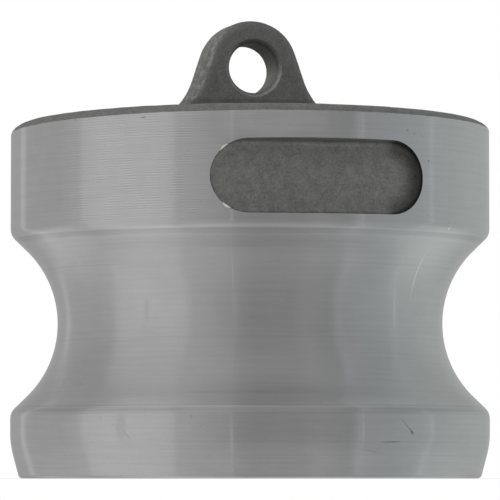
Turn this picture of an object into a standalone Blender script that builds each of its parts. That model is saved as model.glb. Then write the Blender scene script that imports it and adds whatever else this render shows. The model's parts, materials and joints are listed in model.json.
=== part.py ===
"""Dust plug for a 1 1/2 inch cam and groove coupler: one aluminium casting, turned on its outside.

The plug is made the way the real one is. A drafted blank, a lug with an eye, a recess for
markings and a cored hollow make the casting. The lathe then takes away whatever lies outside
the turned envelope: the head's land, the cam groove, the sealing land and the tapered nose.
Metres, +Z up, the nose face on Z = 0 and the recess facing -Y.
"""

from math import atan2, cos, pi, radians, sin, sqrt, tan

import bmesh
import bpy
from mathutils import Matrix, Vector

MM = 0.001

# Turned envelope
PLUG_DIAMETER = 53.4 * MM
GROOVE_ROOT_DIAMETER = 42.9 * MM
GROOVE_RADIUS = 11.3 * MM
GROOVE_HEIGHT = 17.2 * MM
GROOVE_FLANK_ANGLE = radians(46)
HEAD_LAND_EDGE_RADIUS = 1.5 * MM
NOSE_LAND_EDGE_RADIUS = 1.6 * MM
NOSE_TAPER_HEIGHT = 3.8 * MM
NOSE_TAPER_ANGLE = radians(15)
NOSE_TAPER_BLEND = 10.0 * MM
NOSE_EDGE_RADIUS = 0.5 * MM

# Cast blank, which sits a little out of true in the lathe
HEAD_HEIGHT = 39.4 * MM
CAST_RIM_RADIUS = 1.75 * MM
CAST_DRAFT = radians(2)
MACHINING_ALLOWANCE = 0.25 * MM
CAST_RUNOUT = 0.05 * MM
CAST_TILT = radians(0.3)

# The head's top and its lug came out of the mould a little higher in front, left of the recess
HEAD_LEAN = radians(1.2)
HEAD_LEAN_DIRECTION = radians(-17)

# Cored hollow, open at the nose and bevelled at its mouth
HOLLOW_DIAMETER = 35.0 * MM
HOLLOW_DRAFT = radians(1.5)
HOLLOW_CORNER_RADIUS = 4.0 * MM
HEAD_THICKNESS = 6.0 * MM
MOUTH_BEVEL = 0.8 * MM

# Recess for markings, left plain
RECESS_LENGTH = 23.9 * MM
RECESS_WIDTH = 7.8 * MM
RECESS_HEIGHT = 32.12 * MM
RECESS_FLOOR_FROM_AXIS = 23.3 * MM
RECESS_DRAFT = radians(2)
RECESS_CORNER_RADIUS = 0.6 * MM

# Lug with an eye for a tether
LUG_THICKNESS = 5.0 * MM
LUG_EDGE_RADIUS = 1.0 * MM
LUG_CROWN_RADIUS = 5.35 * MM
LUG_SIDE_ANGLE = radians(19)
LUG_FLARE_RADIUS = 7.6 * MM
LUG_FOOT_RADIUS = 3.0 * MM
LUG_OFFSET = -0.28 * MM
EYE_DIAMETER = 5.5 * MM
EYE_LIP_RADIUS = 0.8 * MM
EYE_LIP_TURN = radians(70)
EYE_RISE = 6.27 * MM

# How far one shape reaches into or past another, so that cuts and joins cross cleanly
LUG_FOOT_SINK = 0.12 * MM
LUG_ROOT_DEPTH = 2.0 * MM
CUT_OVERRUN = 3.0 * MM
WELD_DISTANCE = 0.01 * MM

# Facets
ROUND_STEPS = 96
GROOVE_STEPS = 14
EDGE_STEPS = 3
RECESS_END_STEPS = 12
CROWN_STEPS = 9
FLARE_STEPS = 6
CHEEK_STEPS = 6
EYE_STEPS = 36
CAST_BLANK_TURN = radians(0.9)
SHARP_EDGE_ANGLE = radians(30)

TURNED_RADIUS = PLUG_DIAMETER / 2
EYE_HEIGHT = HEAD_HEIGHT + EYE_RISE
LUG_FOOT_HEIGHT = HEAD_HEIGHT - LUG_FOOT_SINK
ENVELOPE_TOP = EYE_HEIGHT + LUG_CROWN_RADIUS + CUT_OVERRUN


def clear_scene():
    for old in list(bpy.data.objects):
        bpy.data.objects.remove(old)


def new_collection(name):
    collection = bpy.data.collections.new(name)
    bpy.context.scene.collection.children.link(collection)
    return collection


def arc(centre, radius, start, end, steps):
    """Points on a circle about centre, from the start angle to the end angle."""
    turns = [start + (end - start) * i / steps for i in range(steps + 1)]
    return [(centre[0] + radius * cos(a), centre[1] + radius * sin(a)) for a in turns]


def rounded_corner(before, corner, after, radius, steps=EDGE_STEPS):
    """The points of a fillet of that radius where two straight stretches of an outline meet."""
    corner = Vector(corner)
    towards_before = (Vector(before) - corner).normalized()
    towards_after = (Vector(after) - corner).normalized()
    half_angle = towards_before.angle(towards_after) / 2
    inwards = (towards_before + towards_after).normalized()
    centre = corner + inwards * radius / sin(half_angle)
    first = corner + towards_before * radius / tan(half_angle) - centre
    last = corner + towards_after * radius / tan(half_angle) - centre
    start = atan2(first.y, first.x)
    sweep = atan2(first.x * last.y - first.y * last.x, first.dot(last))
    return arc(centre, radius, start, start + sweep, steps)


def turned(name, outline, collection, steps=ROUND_STEPS, turn=0.0):
    """A solid of revolution about Z. The outline runs down its outer side, from axis to axis."""
    mesh = bpy.data.meshes.new(name)
    mesh.from_pydata([(r, 0, z) for r, z in outline], [(i, i + 1) for i in range(len(outline) - 1)], [])
    solid = bpy.data.objects.new(name, mesh)
    collection.objects.link(solid)
    screw = solid.modifiers.new("Turn about the axis", "SCREW")
    screw.axis = "Z"
    screw.steps = screw.render_steps = steps
    screw.use_merge_vertices = True
    screw.merge_threshold = WELD_DISTANCE
    screw.use_normal_calculate = False
    solid.rotation_euler.z = turn
    return solid


def cast_blank(collection):
    """The drafted blank before turning: a closed round head whose upper edge stays as cast."""
    blank_radius = TURNED_RADIUS + MACHINING_ALLOWANCE
    below = -CUT_OVERRUN
    rim = arc((blank_radius - CAST_RIM_RADIUS, HEAD_HEIGHT - CAST_RIM_RADIUS), CAST_RIM_RADIUS,
              pi / 2, 0, 2 * EDGE_STEPS)
    foot_radius = blank_radius + (HEAD_HEIGHT - CAST_RIM_RADIUS - below) * tan(CAST_DRAFT)
    outline = [(0, HEAD_HEIGHT), *rim, (foot_radius, below), (0, below)]
    return turned("dust_plug", outline, collection, turn=CAST_BLANK_TURN)


def turned_envelope(collection):
    """Everything that the lathe leaves: both lands, the cam groove between them, and the nose."""
    radius = TURNED_RADIUS
    groove_centre = (GROOVE_ROOT_DIAMETER / 2 + GROOVE_RADIUS, GROOVE_HEIGHT)
    flank = GROOVE_FLANK_ANGLE
    groove = arc(groove_centre, GROOVE_RADIUS, pi - flank, pi + flank, GROOVE_STEPS)
    flank_run = (radius - groove[0][0]) * cos(flank) / sin(flank)
    upper_edge = (radius, groove[0][1] + flank_run)
    lower_edge = (radius, groove[-1][1] - flank_run)
    taper_top = (radius, NOSE_TAPER_HEIGHT)
    nose_edge = (radius - NOSE_TAPER_HEIGHT * tan(NOSE_TAPER_ANGLE), 0)
    top = (radius, ENVELOPE_TOP)
    outline = [(0, ENVELOPE_TOP), top]
    outline += rounded_corner(top, upper_edge, groove[0], HEAD_LAND_EDGE_RADIUS)
    outline += groove
    outline += rounded_corner(groove[-1], lower_edge, taper_top, NOSE_LAND_EDGE_RADIUS)
    outline += rounded_corner(lower_edge, taper_top, nose_edge, NOSE_TAPER_BLEND)
    outline += rounded_corner(taper_top, nose_edge, (0, 0), NOSE_EDGE_RADIUS)
    outline += [(0, 0)]
    return turned("turned_envelope", outline, collection)


def hollow_core(collection):
    """The drafted core of the hollow, with the bevel at its mouth."""
    depth = HEAD_HEIGHT - HEAD_THICKNESS
    mouth = HOLLOW_DIAMETER / 2
    bevel_top = (mouth - MOUTH_BEVEL * tan(HOLLOW_DRAFT), MOUTH_BEVEL)
    inner_end = (mouth - depth * tan(HOLLOW_DRAFT), depth)
    flare = MOUTH_BEVEL + CUT_OVERRUN
    outline = [(0, depth)]
    outline += rounded_corner((0, depth), inner_end, bevel_top, HOLLOW_CORNER_RADIUS, 2 * EDGE_STEPS)
    outline += [bevel_top, (bevel_top[0] + flare, MOUTH_BEVEL - flare), (0, MOUTH_BEVEL - flare)]
    return turned("hollow_core", outline, collection)


def obround_outline(length, width, steps):
    """A flat bar with round ends, counter-clockwise, as points across and up."""
    radius = width / 2
    reach = length / 2 - radius
    right_end = arc((reach, 0), radius, -pi / 2, pi / 2, steps)
    left_end = arc((-reach, 0), radius, pi / 2, 3 * pi / 2, steps)
    return right_end + left_end


def recess_core(collection):
    """The obround core of the marking recess: drafted walls, a flat floor and a rounded corner.

    Its length and width hold where its two ends come out of the turned surface.
    """
    surface = sqrt(TURNED_RADIUS ** 2 - (RECESS_LENGTH / 2) ** 2)
    corner_turns = [pi / 2 * i / EDGE_STEPS for i in range(EDGE_STEPS + 1)]
    sections = [(RECESS_FLOOR_FROM_AXIS + RECESS_CORNER_RADIUS * (1 - cos(turn)),
                 RECESS_CORNER_RADIUS * (1 - sin(turn))) for turn in corner_turns]
    sections.append((TURNED_RADIUS + CUT_OVERRUN, 0))
    shape = bmesh.new()
    rings = []
    for distance, inset in sections:
        growth = 2 * ((distance - surface) * tan(RECESS_DRAFT) - inset)
        outline = obround_outline(RECESS_LENGTH + growth, RECESS_WIDTH + growth, RECESS_END_STEPS)
        rings.append([shape.verts.new((x, -distance, RECESS_HEIGHT + z)) for x, z in outline])
    for inner, outer in zip(rings, rings[1:]):
        for i in range(len(inner)):
            j = (i + 1) % len(inner)
            shape.faces.new((inner[i], inner[j], outer[j], outer[i]))
    shape.faces.new(rings[0])
    shape.faces.new(rings[-1])
    return object_from(shape, "recess_core", collection)


def object_from(shape, name, collection):
    bmesh.ops.recalc_face_normals(shape, faces=shape.faces)
    mesh = bpy.data.meshes.new(name)
    shape.to_mesh(mesh)
    shape.free()
    mesh.shade_smooth()
    made = bpy.data.objects.new(name, mesh)
    collection.objects.link(made)
    return made


def lug_side_edge():
    """The right half of the lug's front outline, from the foot up to the crown's middle.

    The edge flares out of the head, climbs straight but splayed, and runs into a round crown
    about the eye. Each point comes with the outward direction there.
    """
    splay = LUG_SIDE_ANGLE
    flare_centre_z = LUG_FOOT_HEIGHT + LUG_FLARE_RADIUS
    crown_end_x = LUG_CROWN_RADIUS * cos(splay)
    crown_end_z = EYE_HEIGHT + LUG_CROWN_RADIUS * sin(splay)
    flare_top_z = flare_centre_z - LUG_FLARE_RADIUS * sin(splay)
    flare_top_x = crown_end_x + (crown_end_z - flare_top_z) * tan(splay)
    flare_centre = Vector((flare_top_x + LUG_FLARE_RADIUS * cos(splay), flare_centre_z))
    crown_centre = Vector((0, EYE_HEIGHT))
    flare = arc(flare_centre, LUG_FLARE_RADIUS, 3 * pi / 2, pi + splay, FLARE_STEPS)
    crown = arc(crown_centre, LUG_CROWN_RADIUS, splay, pi / 2, CROWN_STEPS)
    edge = [(Vector(p), (flare_centre - Vector(p)).normalized()) for p in flare]
    edge += [(Vector(p), (Vector(p) - crown_centre).normalized()) for p in crown]
    return edge


def lug_half_thickness(z):
    """Half the lug's thickness at a height: flat cheeks that spread into the head at the foot."""
    into_fillet = min(max(LUG_FOOT_HEIGHT + LUG_FOOT_RADIUS - z, 0), LUG_FOOT_RADIUS)
    spread = LUG_FOOT_RADIUS - sqrt(LUG_FOOT_RADIUS ** 2 - into_fillet ** 2)
    return LUG_THICKNESS / 2 + spread


def lug_row(point, outwards):
    """Points across the lug's front, from its right edge over the rounded corner and the cheek
    to its left edge. Each is a place in the front view and a share of the half thickness."""
    half = LUG_THICKNESS / 2
    corner = [(0, 0)]
    for i in range(EDGE_STEPS + 1):
        turn = pi / 2 * i / EDGE_STEPS
        corner.append((LUG_EDGE_RADIUS * (1 - cos(turn)), 1 - LUG_EDGE_RADIUS * (1 - sin(turn)) / half))
    right = [(point - outwards * inset, share) for inset, share in corner]
    left = [(Vector((-p.x, p.y)), share) for p, share in reversed(right)]
    cheek = [(right[-1][0].lerp(left[0][0], i / CHEEK_STEPS), 1) for i in range(1, CHEEK_STEPS)]
    return right + cheek + left


def tether_lug(collection):
    """The lug without its eye, lofted through its rows on the front half and mirrored."""
    rows = [lug_row(point, outwards) for point, outwards in lug_side_edge()]
    root = [(Vector((p.x, HEAD_HEIGHT - LUG_ROOT_DEPTH)), share) for p, share in rows[0]]
    shape = bmesh.new()
    lofted = [[shape.verts.new((p.x, -share * lug_half_thickness(p.y), p.y)) for p, share in row]
              for row in [root] + rows]
    for lower, upper in zip(lofted, lofted[1:]):
        for i in range(len(lower) - 1):
            shape.faces.new((lower[i + 1], lower[i], upper[i], upper[i + 1]))
    shape.faces.new(lofted[0])
    bmesh.ops.remove_doubles(shape, verts=shape.verts, dist=WELD_DISTANCE)
    lug = object_from(shape, "tether_lug", collection)
    mirror = lug.modifiers.new("Back half", "MIRROR")
    mirror.use_axis = (False, True, False)
    mirror.merge_threshold = WELD_DISTANCE
    lug.location.x = LUG_OFFSET
    return lug


def eye_core(collection):
    """The eye's core, waisted so that both of its lips come out round."""
    wall = EYE_DIAMETER / 2
    cheek = LUG_THICKNESS / 2
    lip_centre = (wall + EYE_LIP_RADIUS, cheek - EYE_LIP_RADIUS * sin(EYE_LIP_TURN))
    lip = arc(lip_centre, EYE_LIP_RADIUS, pi, pi - EYE_LIP_TURN, EDGE_STEPS)
    flared_end = (lip[-1][0] + CUT_OVERRUN * tan(EYE_LIP_TURN), cheek + CUT_OVERRUN)
    upper = [(0, flared_end[1]), flared_end, *reversed(lip)]
    lower = [(r, -z) for r, z in reversed(upper)]
    core = turned("eye_core", upper + lower, collection, steps=EYE_STEPS)
    core.location = (LUG_OFFSET, 0, EYE_HEIGHT)
    core.rotation_euler.x = pi / 2
    return core


def join_or_cut(solid, tool, operation, name):
    boolean = solid.modifiers.new(name, "BOOLEAN")
    boolean.operation = operation
    boolean.object = tool
    boolean.solver = "EXACT"


def smooth_round_faces(solid):
    """Shade the solid smooth, apart from edges that bend by more than the sharp edge angle."""
    tree = bpy.data.node_groups.new("smooth_by_angle", "GeometryNodeTree")
    for side in ("INPUT", "OUTPUT"):
        tree.interface.new_socket("Geometry", in_out=side, socket_type="NodeSocketGeometry")
    arriving = tree.nodes.new("NodeGroupInput")
    leaving = tree.nodes.new("NodeGroupOutput")
    edge_angle = tree.nodes.new("GeometryNodeInputMeshEdgeAngle")
    is_round = tree.nodes.new("FunctionNodeCompare")
    is_round.operation = "LESS_THAN"
    is_round.inputs["B"].default_value = SHARP_EDGE_ANGLE
    shading = tree.nodes.new("GeometryNodeSetShadeSmooth")
    shading.domain = "EDGE"
    tree.links.new(arriving.outputs[0], shading.inputs["Geometry"])
    tree.links.new(edge_angle.outputs["Unsigned Angle"], is_round.inputs["A"])
    tree.links.new(is_round.outputs["Result"], shading.inputs["Shade Smooth"])
    tree.links.new(shading.outputs["Geometry"], leaving.inputs[0])
    solid.modifiers.new("Smooth by angle", "NODES").node_group = tree


def turned_aluminium():
    material = bpy.data.materials.new("turned_cast_aluminium")
    material.use_nodes = True
    surface = material.node_tree.nodes["Principled BSDF"]
    surface.inputs["Base Color"].default_value = (0.55, 0.55, 0.55, 1)
    surface.inputs["Metallic"].default_value = 1.0
    surface.inputs["Roughness"].default_value = 0.38
    return material


def casting_frame():
    """Where the casting sits in the lathe: off centre, and leaning about the middle of its head."""
    frame = bpy.data.objects.new("casting_frame", None)
    bpy.context.scene.collection.objects.link(frame)
    frame.location.x = CAST_RUNOUT + HEAD_HEIGHT * sin(CAST_TILT)
    frame.rotation_euler.y = -CAST_TILT
    return frame


def head_frame(casting):
    """The lean of the head's top and its lug, about the middle of the head."""
    frame = bpy.data.objects.new("head_frame", None)
    bpy.context.scene.collection.objects.link(frame)
    frame.parent = casting
    frame.location.z = HEAD_HEIGHT
    frame.rotation_mode = "AXIS_ANGLE"
    frame.rotation_axis_angle = (-HEAD_LEAN, cos(HEAD_LEAN_DIRECTION), sin(HEAD_LEAN_DIRECTION), 0)
    return frame


def main():
    clear_scene()
    plug_collection = new_collection("camlock_dust_plug")
    tools = new_collection("shaping_tools")
    plug = cast_blank(plug_collection)
    lug = tether_lug(tools)
    eye = eye_core(tools)
    recess = recess_core(tools)
    hollow = hollow_core(tools)
    envelope = turned_envelope(tools)
    casting = casting_frame()
    for cored in (recess, hollow):
        cored.parent = casting
    head = head_frame(casting)
    for leaning in (plug, lug, eye):
        leaning.parent = head
        leaning.matrix_parent_inverse = Matrix.Translation((0, 0, -HEAD_HEIGHT))
    join_or_cut(lug, eye, "DIFFERENCE", "Core the eye")
    join_or_cut(plug, lug, "UNION", "Cast the lug on")
    join_or_cut(plug, recess, "DIFFERENCE", "Core the recess")
    join_or_cut(plug, hollow, "DIFFERENCE", "Core the hollow")
    join_or_cut(plug, envelope, "INTERSECT", "Turn the outside")
    plug.data.materials.append(turned_aluminium())
    smooth_round_faces(plug)
    for tool in tools.objects:
        tool.hide_render = True
        tool.display_type = "WIRE"


main()
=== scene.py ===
import json
from math import atan, atan2, cos, pi, radians, sin, sqrt, tan

import bmesh
import bpy
from mathutils import Matrix, Vector, noise

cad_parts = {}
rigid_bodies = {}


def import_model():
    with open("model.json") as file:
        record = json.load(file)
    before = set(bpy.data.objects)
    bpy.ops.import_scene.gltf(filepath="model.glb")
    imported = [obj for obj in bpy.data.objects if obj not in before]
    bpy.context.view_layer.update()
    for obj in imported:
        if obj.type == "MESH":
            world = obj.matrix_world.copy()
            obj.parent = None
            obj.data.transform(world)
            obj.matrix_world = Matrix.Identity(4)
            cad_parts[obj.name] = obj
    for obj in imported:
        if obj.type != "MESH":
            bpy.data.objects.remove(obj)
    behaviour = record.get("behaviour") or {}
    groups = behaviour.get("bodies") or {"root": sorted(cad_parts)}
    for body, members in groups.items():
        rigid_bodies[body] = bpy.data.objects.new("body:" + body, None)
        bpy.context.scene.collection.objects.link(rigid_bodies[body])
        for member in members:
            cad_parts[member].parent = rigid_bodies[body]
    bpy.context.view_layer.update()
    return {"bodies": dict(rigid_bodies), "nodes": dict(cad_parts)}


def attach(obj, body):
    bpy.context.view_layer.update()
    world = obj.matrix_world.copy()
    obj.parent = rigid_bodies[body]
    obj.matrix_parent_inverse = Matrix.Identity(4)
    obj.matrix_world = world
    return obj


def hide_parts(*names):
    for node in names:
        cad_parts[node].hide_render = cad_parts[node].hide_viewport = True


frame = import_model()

mm = 0.001  # meshes are shaped in millimetres and scaled to metres at the end
past = 3.0  # how far a shape runs past the face where it cuts or is cut
scene = bpy.context.scene
scene.view_settings.view_transform = "Standard"


def hexColour(code):
    # sRGB hex to the linear colour that the shaders want
    channels = [int(code[i:i + 2], 16) / 255 for i in (1, 3, 5)]
    linear = [c / 12.92 if c <= 0.04045 else ((c + 0.055) / 1.055) ** 2.4 for c in channels]
    return (*linear, 1)


def addNode(tree, kind, links=None, **settings):
    # links feeds each socket from a node's first output, from another socket or with a value
    node = tree.nodes.new(kind)
    for name, value in settings.items():
        setattr(node, name, value)
    for socket, value in (links or {}).items():
        if isinstance(value, bpy.types.Node):
            value = value.outputs[0]
        if isinstance(value, bpy.types.NodeSocket):
            tree.links.new(value, node.inputs[socket])
        else:
            node.inputs[socket].default_value = value
    return node


def newMaterial(name):
    material = bpy.data.materials.new(name)
    material.use_nodes = True
    tree = material.node_tree
    tree.nodes.clear()
    output = addNode(tree, "ShaderNodeOutputMaterial")
    return material, tree, output


def objectFrom(shape, name, material):
    mesh = bpy.data.meshes.new(name)
    shape.to_mesh(mesh)
    shape.free()
    mesh.materials.append(material)
    made = bpy.data.objects.new(name, mesh)
    scene.collection.objects.link(made)
    return made


# The photograph's camera: level with the foot, a little to the left of the recess
view = {
    "azimuth": -17.25, "distance": 500.0, "height": 0.1, "aimHeight": 25.39,
    "lens": 322.75, "sensor": 36.0, "nearest": 10.0,
}


def makeCamera():
    turn = radians(view["azimuth"])
    away = view["distance"]
    data = bpy.data.cameras.new("camera")
    data.lens = view["lens"]
    data.sensor_width = view["sensor"]
    data.clip_start = view["nearest"] * mm
    camera = bpy.data.objects.new("camera", data)
    scene.collection.objects.link(camera)
    camera.location = (away * sin(turn) * mm, -away * cos(turn) * mm, view["height"] * mm)
    camera.rotation_euler = (pi / 2 + atan(view["aimHeight"] / away), 0, turn)
    scene.camera = camera


# Light tent round the plug, in millimetres. Each stop is a direction in degrees from the camera
# towards the photo's right, and the tone of the tent's wall there.
tent = {
    "radius": 600.0,
    "wall": 450.0,  # above and below the foot of the plug
    "peak": 900.0,
    "segments": 96,
    "level": 250.0,  # beyond this height the tones drift to meet behind the plug
    "drift": 0.7,
    "stops": [
        (-180, "#dcdedd"), (-160, "#d6d6d6"), (-142.5, "#e0e0e0"), (-139.5, "#f6f6f6"),
        (-136.5, "#f6f6f6"), (-132.5, "#dedede"), (-100, "#dedede"), (-88, "#e8e8e8"),
        (-84.5, "#f8f8f8"), (-70, "#ffffff"), (-46, "#fbfbfb"), (-37, "#f5f5f5"),
        (-34, "#e5e5e5"), (-27, "#dfdfdf"), (-20, "#d6d6d6"), (-10, "#cbcbcb"), (-6, "#c0c0c0"),
        (3, "#b8b8b8"), (24, "#b9b9b9"), (31, "#c1c1c1"), (48, "#bcbdbd"), (54, "#d4d7d9"),
        (56, "#c8cbcd"), (61, "#cbced1"), (75, "#cfd4d6"), (88, "#d5dbdb"), (93.7, "#dbe1e1"),
        (94.8, "#f4f8f8"), (96.2, "#dbe1e1"), (131, "#e4eae8"), (180, "#dcdedd")],
    # Smooth ramps of the wall's strength: what each one follows, where it starts and ends, and
    # its two levels. Turn and aside are in degrees. Slope is -1 straight down and 1 straight up,
    # and tilt is the same without its sign.
    "ramps": {
        "lamp": ("slope", 0.7, 0.98, 0.55, 0.616),
        "table": ("slope", -0.98, -0.7, 1.3, 1.0),
        "side": ("aside", 70, 125, 0.0, 1.0),
        "below": ("slope", -0.5, -0.2, 0.3, 0.0),
        "outer": ("aside", 15, 60, 0.0, 1.0),
        "above": ("slope", 0.15, 0.45, 0.0, -0.13),
        "front": ("turn", -40, -5, 0.0, 0.16),
        "frontEnd": ("turn", 50, 90, 1.0, 0.0),
        "slanting": ("tilt", 0.3, 0.7, 0.0, 1.0),
    },
    # A thin bright gap in the cloth, low down
    "slit": {"turn": -8.5, "half": 0.45, "soft": 0.2, "colour": "#ffffff", "tone": 0.5,
             "low": 25.0, "high": 55.0, "slopeFrom": -0.6, "slopeTo": -0.35},
}


def makeTentCloth():
    # White cloth lit from outside: bright and even, with darker panels in front
    material, tree, output = newMaterial("tentCloth")
    position = addNode(tree, "ShaderNodeTexCoord").outputs["Object"]
    axes = addNode(tree, "ShaderNodeSeparateXYZ", {0: position})
    rise = addNode(tree, "ShaderNodeMath", {0: axes.outputs["Z"]}, operation="ABSOLUTE")
    over = addNode(tree, "ShaderNodeMath", {0: rise, 1: tent["level"] * mm}, operation="SUBTRACT")
    over = addNode(tree, "ShaderNodeMath", {0: over, 1: 0.0}, operation="MAXIMUM")
    drift = addNode(tree, "ShaderNodeMath", {0: over, 1: tent["drift"]}, operation="MULTIPLY")
    towards = addNode(tree, "ShaderNodeMath", {0: drift, 1: axes.outputs["Y"]},
                      operation="SUBTRACT")
    turn = addNode(tree, "ShaderNodeMath", {0: axes.outputs["X"], 1: towards},
                   operation="ARCTAN2")
    share = addNode(tree, "ShaderNodeMapRange", {"Value": turn, "From Min": -pi, "From Max": pi})
    tones = addNode(tree, "ShaderNodeValToRGB", {0: share})
    elements = tones.color_ramp.elements
    while len(elements) < len(tent["stops"]):
        elements.new(0.5)
    for element, (angle, tone) in zip(elements, tent["stops"]):
        element.position = (angle + 180) / 360
        element.color = hexColour(tone)

    slope = addNode(tree, "ShaderNodeVectorMath", {0: position}, operation="NORMALIZE")
    slope = addNode(tree, "ShaderNodeSeparateXYZ", {0: slope}).outputs["Z"]
    followed = {
        "turn": turn,
        "aside": addNode(tree, "ShaderNodeMath", {0: turn}, operation="ABSOLUTE"),
        "slope": slope,
        "tilt": addNode(tree, "ShaderNodeMath", {0: slope}, operation="ABSOLUTE"),
    }
    ramps = {}
    for name, (follows, start, end, low, high) in tent["ramps"].items():
        unit = radians(1) if follows in ("turn", "aside") else 1
        ramps[name] = addNode(tree, "ShaderNodeMapRange", {
            "Value": followed[follows], "From Min": start * unit, "From Max": end * unit,
            "To Min": low, "To Max": high}, interpolation_type="SMOOTHSTEP")
    # brighter low at the sides and aslant in front, dimmer high up away from the camera
    strength = 1.0
    for names in (("side", "below"), ("outer", "above"), ("front", "frontEnd", "slanting")):
        more = ramps[names[0]]
        for name in names[1:]:
            more = addNode(tree, "ShaderNodeMath", {0: more, 1: ramps[name]},
                           operation="MULTIPLY")
        strength = addNode(tree, "ShaderNodeMath", {0: strength, 1: more}, operation="ADD")
    # and the lamp over the tent and the bright table under it
    for name in ("lamp", "table"):
        strength = addNode(tree, "ShaderNodeMath", {0: strength, 1: ramps[name]},
                           operation="MULTIPLY")

    slit = tent["slit"]
    aside = addNode(tree, "ShaderNodeMath", {0: turn, 1: radians(slit["turn"])},
                    operation="SUBTRACT")
    aside = addNode(tree, "ShaderNodeMath", {0: aside}, operation="ABSOLUTE")
    gap = addNode(tree, "ShaderNodeMapRange", {
        "Value": aside, "From Min": radians(slit["half"]),
        "From Max": radians(slit["half"] + slit["soft"]), "To Min": slit["tone"], "To Max": 0.0})
    lowDown = addNode(tree, "ShaderNodeMapRange", {
        "Value": axes.outputs["Z"], "From Min": slit["low"] * mm, "From Max": slit["high"] * mm,
        "To Min": 1.0, "To Max": 0.0})
    notUnder = addNode(tree, "ShaderNodeMapRange", {
        "Value": slope, "From Min": slit["slopeFrom"], "From Max": slit["slopeTo"]})
    for fade in (lowDown, notUnder):
        gap = addNode(tree, "ShaderNodeMath", {0: gap, 1: fade}, operation="MULTIPLY")
    colour = addNode(tree, "ShaderNodeMix", {
        "Factor": gap, "A": tones, "B": hexColour(slit["colour"])},
        data_type="RGBA").outputs["Result"]
    light = addNode(tree, "ShaderNodeEmission", {"Color": colour, "Strength": strength})
    tree.links.new(light.outputs[0], output.inputs["Surface"])
    return material


def makeTent():
    shape = bmesh.new()
    count, radius, wallTop = tent["segments"], tent["radius"] * mm, tent["wall"] * mm
    low, high = [], []
    foot = shape.verts.new((0, 0, -tent["peak"] * mm))
    for i in range(count):
        turn = 2 * pi * i / count
        x, y = radius * sin(turn), -radius * cos(turn)
        low.append(shape.verts.new((x, y, -wallTop)))
        high.append(shape.verts.new((x, y, wallTop)))
    peak = shape.verts.new((0, 0, tent["peak"] * mm))
    for i in range(count):
        j = (i + 1) % count
        shape.faces.new((low[i], high[i], high[j], low[j]))
        shape.faces.new((high[i], peak, high[j]))
        shape.faces.new((low[j], foot, low[i]))
    wall = objectFrom(shape, "lightTent", makeTentCloth())
    wall.rotation_euler.z = radians(view["azimuth"])
    wall.visible_camera = False
    wall.visible_shadow = False


# The floor and the sky, in millimetres. Beyond the plug's shadow the floor is white to the eye.
ground = {
    "reach": 3000.0, "sink": 0.001, "paper": "#e8e8e8", "whiteFrom": 26.0, "whiteTo": 48.0,
    "skyLight": 0.9,
}


def seenRays(tree):
    # 1 to the camera and in what metal or glass shows, 0 to the light that falls on things
    path = addNode(tree, "ShaderNodeLightPath")
    seen = addNode(tree, "ShaderNodeMath", {
        0: path.outputs["Is Camera Ray"], 1: path.outputs["Is Glossy Ray"]}, operation="ADD")
    return addNode(tree, "ShaderNodeMath", {0: seen, 1: path.outputs["Is Transmission Ray"]},
                   operation="ADD", use_clamp=True)


def makeSky():
    world = bpy.data.worlds.new("studio")
    scene.world = world
    world.use_nodes = True
    tree = world.node_tree
    tree.nodes.clear()
    level = addNode(tree, "ShaderNodeMapRange", {
        "Value": seenRays(tree), "To Min": ground["skyLight"], "To Max": 1.0})
    sky = addNode(tree, "ShaderNodeBackground", {"Color": hexColour("#ffffff"), "Strength": level})
    output = addNode(tree, "ShaderNodeOutputWorld")
    tree.links.new(sky.outputs[0], output.inputs["Surface"])


def makeFloor():
    # Matt white paper, which shows the shadow near the plug and glows white beyond it
    material, tree, output = newMaterial("paleFloor")
    position = addNode(tree, "ShaderNodeTexCoord").outputs["Object"]
    away = addNode(tree, "ShaderNodeVectorMath", {0: position}, operation="LENGTH")
    white = addNode(tree, "ShaderNodeMapRange", {
        "Value": away.outputs["Value"], "From Min": ground["whiteFrom"] * mm,
        "From Max": ground["whiteTo"] * mm}, interpolation_type="SMOOTHSTEP")
    white = addNode(tree, "ShaderNodeMath", {0: seenRays(tree), 1: white}, operation="MULTIPLY")
    paper = addNode(tree, "ShaderNodeBsdfDiffuse", {"Color": hexColour(ground["paper"])})
    glow = addNode(tree, "ShaderNodeEmission", {"Color": hexColour("#ffffff"), "Strength": 1.0})
    both = addNode(tree, "ShaderNodeMixShader", {0: white, 1: paper, 2: glow})
    tree.links.new(both.outputs[0], output.inputs["Surface"])

    shape = bmesh.new()
    reach = ground["reach"] * mm
    corners = ((-1, -1), (1, -1), (1, 1), (-1, 1))
    shape.faces.new([shape.verts.new((x * reach, y * reach, -ground["sink"] * mm))
                     for x, y in corners])
    floor = objectFrom(shape, "floor", material)
    floor.visible_glossy = False  # the metal mirrors the tent's bright table in its place


def arc(centre, radius, start, end, steps):
    turns = [start + (end - start) * i / steps for i in range(steps + 1)]
    return [(centre[0] + radius * cos(a), centre[1] + radius * sin(a)) for a in turns]


def fillet(before, corner, after, radius, steps):
    corner = Vector(corner)
    back = (Vector(before) - corner).normalized()
    on = (Vector(after) - corner).normalized()
    half = back.angle(on) / 2
    centre = corner + (back + on).normalized() * radius / sin(half)
    first = corner + back * radius / tan(half) - centre
    last = corner + on * radius / tan(half) - centre
    start = atan2(first.y, first.x)
    sweep = atan2(first.x * last.y - first.y * last.x, first.dot(last))
    return arc(centre, radius, start, start + sweep, steps)


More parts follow.
